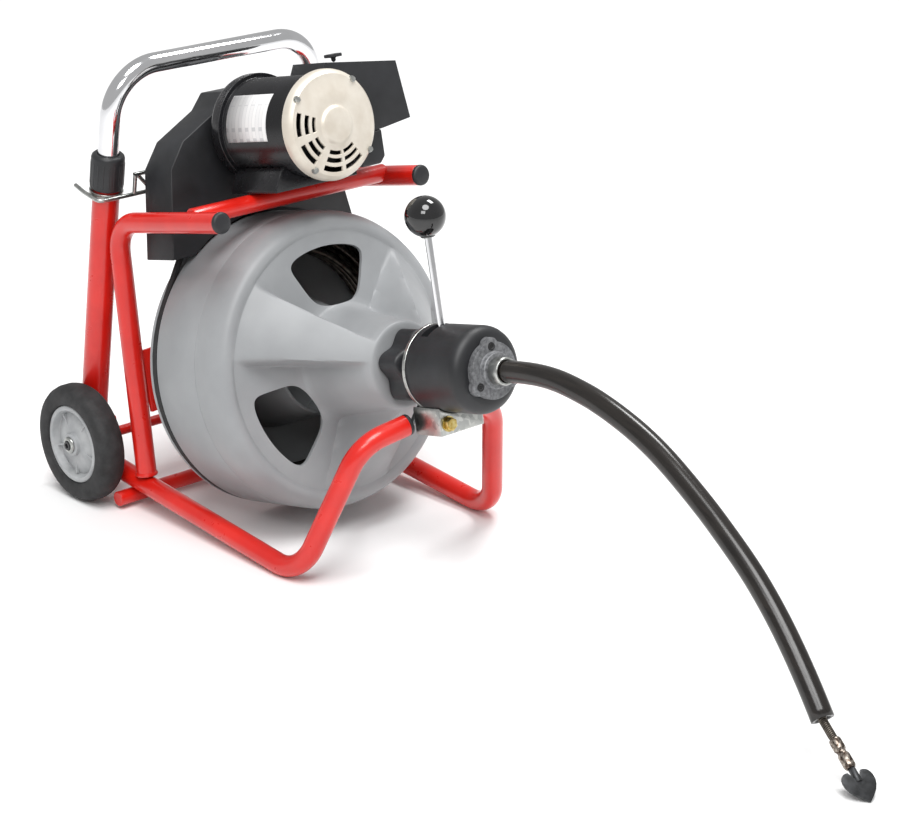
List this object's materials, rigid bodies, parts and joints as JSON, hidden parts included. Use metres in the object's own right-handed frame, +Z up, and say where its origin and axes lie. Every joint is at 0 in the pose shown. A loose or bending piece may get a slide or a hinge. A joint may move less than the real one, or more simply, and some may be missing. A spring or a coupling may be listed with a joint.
{
  "type": "drain snake machine",
  "caption": "Belt-driven cable drum on a wheeled tube frame, with a motor above it, a lever feed on the nose and a guide hose with a spade cutter.",
  "frame": {"origin": "on the floor, midway between the hose nut and the back of the tyres, on the middle plane", "axes": "+Z up, -Y towards the nose and hose, -X the machine's right side (the side with the bare motor)"},
  "size_m": [0.4234, 1.2555, 0.569],
  "materials": {
    "red_powder_coat": "gloss powder coat",
    "black_plastic": "moulded, satin",
    "zinc_plate": "zinc plated",
    "bright_steel": "turned",
    "pale_grey_plastic": "moulded, satin",
    "tyre_rubber": "matt rubber",
    "bright_chrome": "polished",
    "grey_plastic": "moulded, fine grain",
    "spring_steel": "wound, oiled",
    "belt_rubber": "matt rubber",
    "black_enamel": "semi-gloss enamel",
    "cream_enamel": "semi-gloss enamel",
    "gloss_black": "polished",
    "cast_grey": "cast, lightly machined",
    "hose_rubber": "smooth, semi-gloss"
  },
  "bodies": {
    "frame": {"right_base_tube": "red_powder_coat", "left_base_tube": "red_powder_coat", "right_hoop_tube": "red_powder_coat", "left_hoop_tube": "red_powder_coat", "right_post": "red_powder_coat", "left_post": "red_powder_coat", "right_axle_bracket": "red_powder_coat", "left_axle_bracket": "red_powder_coat", "rear_foot_bar": "red_powder_coat", "motor_crossbar": "red_powder_coat", "drum_support_plate": "red_powder_coat", "right_rail_cap": "black_plastic", "left_rail_cap": "black_plastic", "right_arm_cap": "black_plastic", "left_arm_cap": "black_plastic", "nose_bracket": "zinc_plate", "axle": "bright_steel", "right_axle_nut": "zinc_plate", "left_axle_nut": "zinc_plate", "cord_rack": "zinc_plate", "drum_bearing": "bright_steel", "drive_belt": "belt_rubber", "motor_body": "black_enamel", "motor_end_bell": "cream_enamel", "motor_base": "black_enamel", "belt_guard": "black_plastic", "control_box": "black_plastic", "capacitor_cover": "black_plastic", "cord_gland": "belt_rubber", "feed_housing": "black_plastic", "feed_back_plate": "zinc_plate", "feed_flange": "cast_grey", "hose_nut": "zinc_plate", "guide_hose": "hose_rubber"},
    "right_wheel": {"right_wheel_hub": "pale_grey_plastic", "right_tyre": "tyre_rubber"},
    "left_wheel": {"left_wheel_hub": "pale_grey_plastic", "left_tyre": "tyre_rubber"},
    "handle": {"handle_loop": "bright_chrome"},
    "right_collar": {"right_handle_collar": "black_plastic"},
    "left_collar": {"left_handle_collar": "black_plastic"},
    "drum": {"drum_front_shell": "grey_plastic", "drum_rear_shell": "grey_plastic", "inner_drum": "grey_plastic", "cable_coil": "spring_steel", "drum_shaft": "bright_steel"},
    "knob": {"hub_knob": "black_plastic"},
    "rotor": {"motor_rotor": "spring_steel", "motor_pulley": "bright_steel", "motor_fan": "black_plastic"},
    "lever": {"feed_lever": "bright_chrome", "lever_knob": "gloss_black", "roller_carrier": "bright_steel"},
    "roller_1": {"feed_roller_1": "bright_steel"},
    "roller_2": {"feed_roller_2": "bright_steel"},
    "roller_3": {"feed_roller_3": "bright_steel"},
    "switch": {"direction_switch": "black_plastic"},
    "cable_tip": {"cable_end": "spring_steel", "cable_coupling": "spring_steel", "spade_cutter": "cast_grey"}
  },
  "joints": [
    {"name": "right_wheel_spin", "type": "hinge", "parent": "frame", "child": "right_wheel", "pos_m": [-0.1887, 0.253, 0.075], "axis": [1, 0, 0], "continuous": true},
    {"name": "left_wheel_spin", "type": "hinge", "parent": "frame", "child": "left_wheel", "pos_m": [0.1887, 0.253, 0.075], "axis": [1, 0, 0], "continuous": true},
    {"name": "handle_slide", "type": "slide", "parent": "frame", "child": "handle", "axis": [0, -0.1633, 0.9866], "range_m": [0, 0.28]},
    {"name": "right_collar_twist", "type": "hinge", "parent": "frame", "child": "right_collar", "pos_m": [-0.153, 0.27955, 0.075], "axis": [0, -0.1633, 0.9866], "range_deg": [0, 90]},
    {"name": "left_collar_twist", "type": "hinge", "parent": "frame", "child": "left_collar", "pos_m": [0.153, 0.27955, 0.075], "axis": [0, -0.1633, 0.9866], "range_deg": [0, 90]},
    {"name": "drum_spin", "type": "hinge", "parent": "frame", "child": "drum", "pos_m": [0, -0.328, 0.279], "axis": [0, -0.9763, 0.2164], "continuous": true},
    {"name": "hub_knob_twist", "type": "hinge", "parent": "drum", "child": "knob", "pos_m": [0, -0.328, 0.279], "axis": [0, -0.9763, 0.2164], "range_deg": [0, 60]},
    {"name": "motor_spin", "type": "hinge", "parent": "frame", "child": "rotor", "pos_m": [0, -0.2661, 0.55822], "axis": [0, -0.9763, 0.2164], "continuous": true},
    {"name": "feed_lever_swing", "type": "hinge", "parent": "frame", "child": "lever", "pos_m": [0, -0.328, 0.279], "axis": [0, -0.9763, 0.2164], "range_deg": [-25, 25]},
    {"name": "feed_roller_1_spin", "type": "hinge", "parent": "lever", "child": "roller_1", "pos_m": [0, -0.32515, 0.29184], "axis": [0, -0.9763, 0.2164], "continuous": true},
    {"name": "feed_roller_2_spin", "type": "hinge", "parent": "lever", "child": "roller_2", "pos_m": [-0.01139, -0.32942, 0.27258], "axis": [0, -0.9763, 0.2164], "continuous": true},
    {"name": "feed_roller_3_spin", "type": "hinge", "parent": "lever", "child": "roller_3", "pos_m": [0.01139, -0.32942, 0.27258], "axis": [0, -0.9763, 0.2164], "continuous": true},
    {"name": "direction_switch_tilt", "type": "hinge", "parent": "frame", "child": "switch", "pos_m": [0.058, 0.04484, 0.56087], "axis": [1, 0, 0], "range_deg": [-20, 20]},
    {"name": "cable_tip_spin", "type": "hinge", "parent": "frame", "child": "cable_tip", "pos_m": [-0.0498, -0.8636, 0.0419], "axis": [-0.1894, -0.8276, -0.5284], "continuous": true}
  ],
  "couplings": [
    {"joint": "motor_spin", "follows": "drum_spin", "ratio": 8.768},
    {"joint": "cable_tip_spin", "follows": "drum_spin", "ratio": 1},
    {"joint": "feed_roller_1_spin", "follows": "drum_spin", "ratio": -0.594},
    {"joint": "feed_roller_2_spin", "follows": "drum_spin", "ratio": -0.594},
    {"joint": "feed_roller_3_spin", "follows": "drum_spin", "ratio": -0.594}
  ]
}
